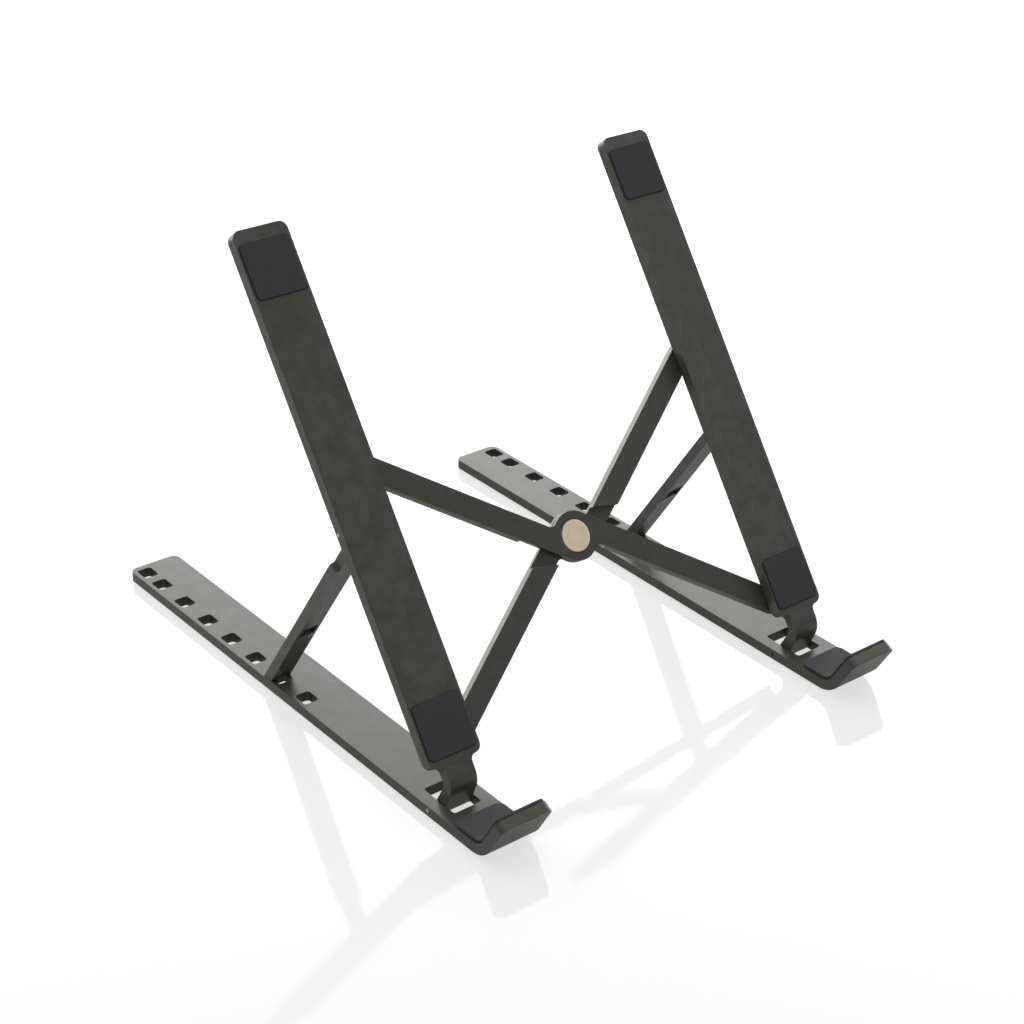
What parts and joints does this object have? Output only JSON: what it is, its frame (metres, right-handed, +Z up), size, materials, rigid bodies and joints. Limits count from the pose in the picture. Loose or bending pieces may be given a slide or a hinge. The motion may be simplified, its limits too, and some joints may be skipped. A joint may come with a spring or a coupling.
{
  "type": "folding laptop stand",
  "caption": "Folding laptop stand: two hooked rails, two tilting uprights with rubber pads, struts in tilt slots and a half-lapped X-brace that folds the sides together",
  "frame": {"origin": "middle of the footprint, at the undersides of the rubber feet", "axes": "+X to the right across the two rails, +Y from the hooks to the back ends of the rails, +Z up"},
  "size_m": [0.1948, 0.25, 0.1847],
  "materials": {
    "dark_aluminium": "matte anodised, dark gunmetal, with bright chamfered edges",
    "silicone": "matte near-black silicone",
    "pin_steel": "plain turned steel",
    "cap_satin": "turned satin champagne with fine concentric rings",
    "nylon": "black slip washer"
  },
  "bodies": {
    "base_left": {"left_rail": "dark_aluminium", "left_hook_pad": "silicone", "left_front_foot": "silicone", "left_rear_foot": "silicone", "left_hinge_pin": "pin_steel"},
    "upright_left": {"left_upright": "dark_aluminium", "left_top_pad": "silicone", "left_bottom_pad": "silicone", "left_strut_pin": "pin_steel", "left_pivot_rivet": "pin_steel", "left_pivot_spacer": "nylon"},
    "strut_left": {"left_strut": "dark_aluminium"},
    "cross_rear": {"cross_arm_rear": "dark_aluminium", "right_slide_stud": "pin_steel", "right_slide_spacer": "nylon"},
    "cross_front": {"cross_arm_front": "dark_aluminium", "hub_rivet": "cap_satin", "hub_rear_cap": "cap_satin", "hub_washer": "nylon", "left_slide_stud": "pin_steel", "left_slide_spacer": "nylon"},
    "upright_right": {"right_upright": "dark_aluminium", "right_top_pad": "silicone", "right_bottom_pad": "silicone", "right_strut_pin": "pin_steel", "right_pivot_rivet": "pin_steel", "right_pivot_spacer": "nylon"},
    "base_right": {"right_rail": "dark_aluminium", "right_hook_pad": "silicone", "right_front_foot": "silicone", "right_rear_foot": "silicone", "right_hinge_pin": "pin_steel"},
    "strut_right": {"right_strut": "dark_aluminium"}
  },
  "joints": [
    {"name": "left_hinge", "type": "hinge", "parent": "base_left", "child": "upright_left", "pos_m": [-0.086, -0.08251, 0.00295], "axis": [1, 0, 0], "range_deg": [0, 33]},
    {"name": "left_strut_fold", "type": "hinge", "parent": "upright_left", "child": "strut_left", "pos_m": [-0.0923, -0.03037, 0.09148], "axis": [1, 0, 0], "range_deg": [0, 110]},
    {"name": "rear_arm_pivot", "type": "hinge", "parent": "upright_left", "child": "cross_rear", "pos_m": [-0.07995, -0.07555, 0.02175], "axis": [0, -0.8111, 0.585], "range_deg": [-12.7, 53.1]},
    {"name": "brace_hub", "type": "hinge", "parent": "cross_rear", "child": "cross_front", "pos_m": [0, -0.0445, 0.0648], "axis": [0, 0.8111, -0.585], "range_deg": [-25.4, 106.21]},
    {"name": "front_arm_pivot", "type": "hinge", "parent": "cross_front", "child": "upright_right", "pos_m": [0.07995, -0.07555, 0.02175], "axis": [0, -0.8111, 0.585], "range_deg": [-12.7, 53.1]},
    {"name": "right_hinge", "type": "hinge", "parent": "upright_right", "child": "base_right", "pos_m": [0.086, -0.08251, 0.00295], "axis": [-1, 0, 0], "range_deg": [0, 33]},
    {"name": "right_strut_fold", "type": "hinge", "parent": "upright_right", "child": "strut_right", "pos_m": [0.0923, -0.03037, 0.09148], "axis": [1, 0, 0], "range_deg": [0, 110]}
  ],
  "couplings": [
    {"joint": "rear_arm_pivot", "follows": "brace_hub", "ratio": 0.5},
    {"joint": "front_arm_pivot", "follows": "brace_hub", "ratio": 0.5},
    {"joint": "right_hinge", "follows": "left_hinge", "ratio": 1}
  ]
}
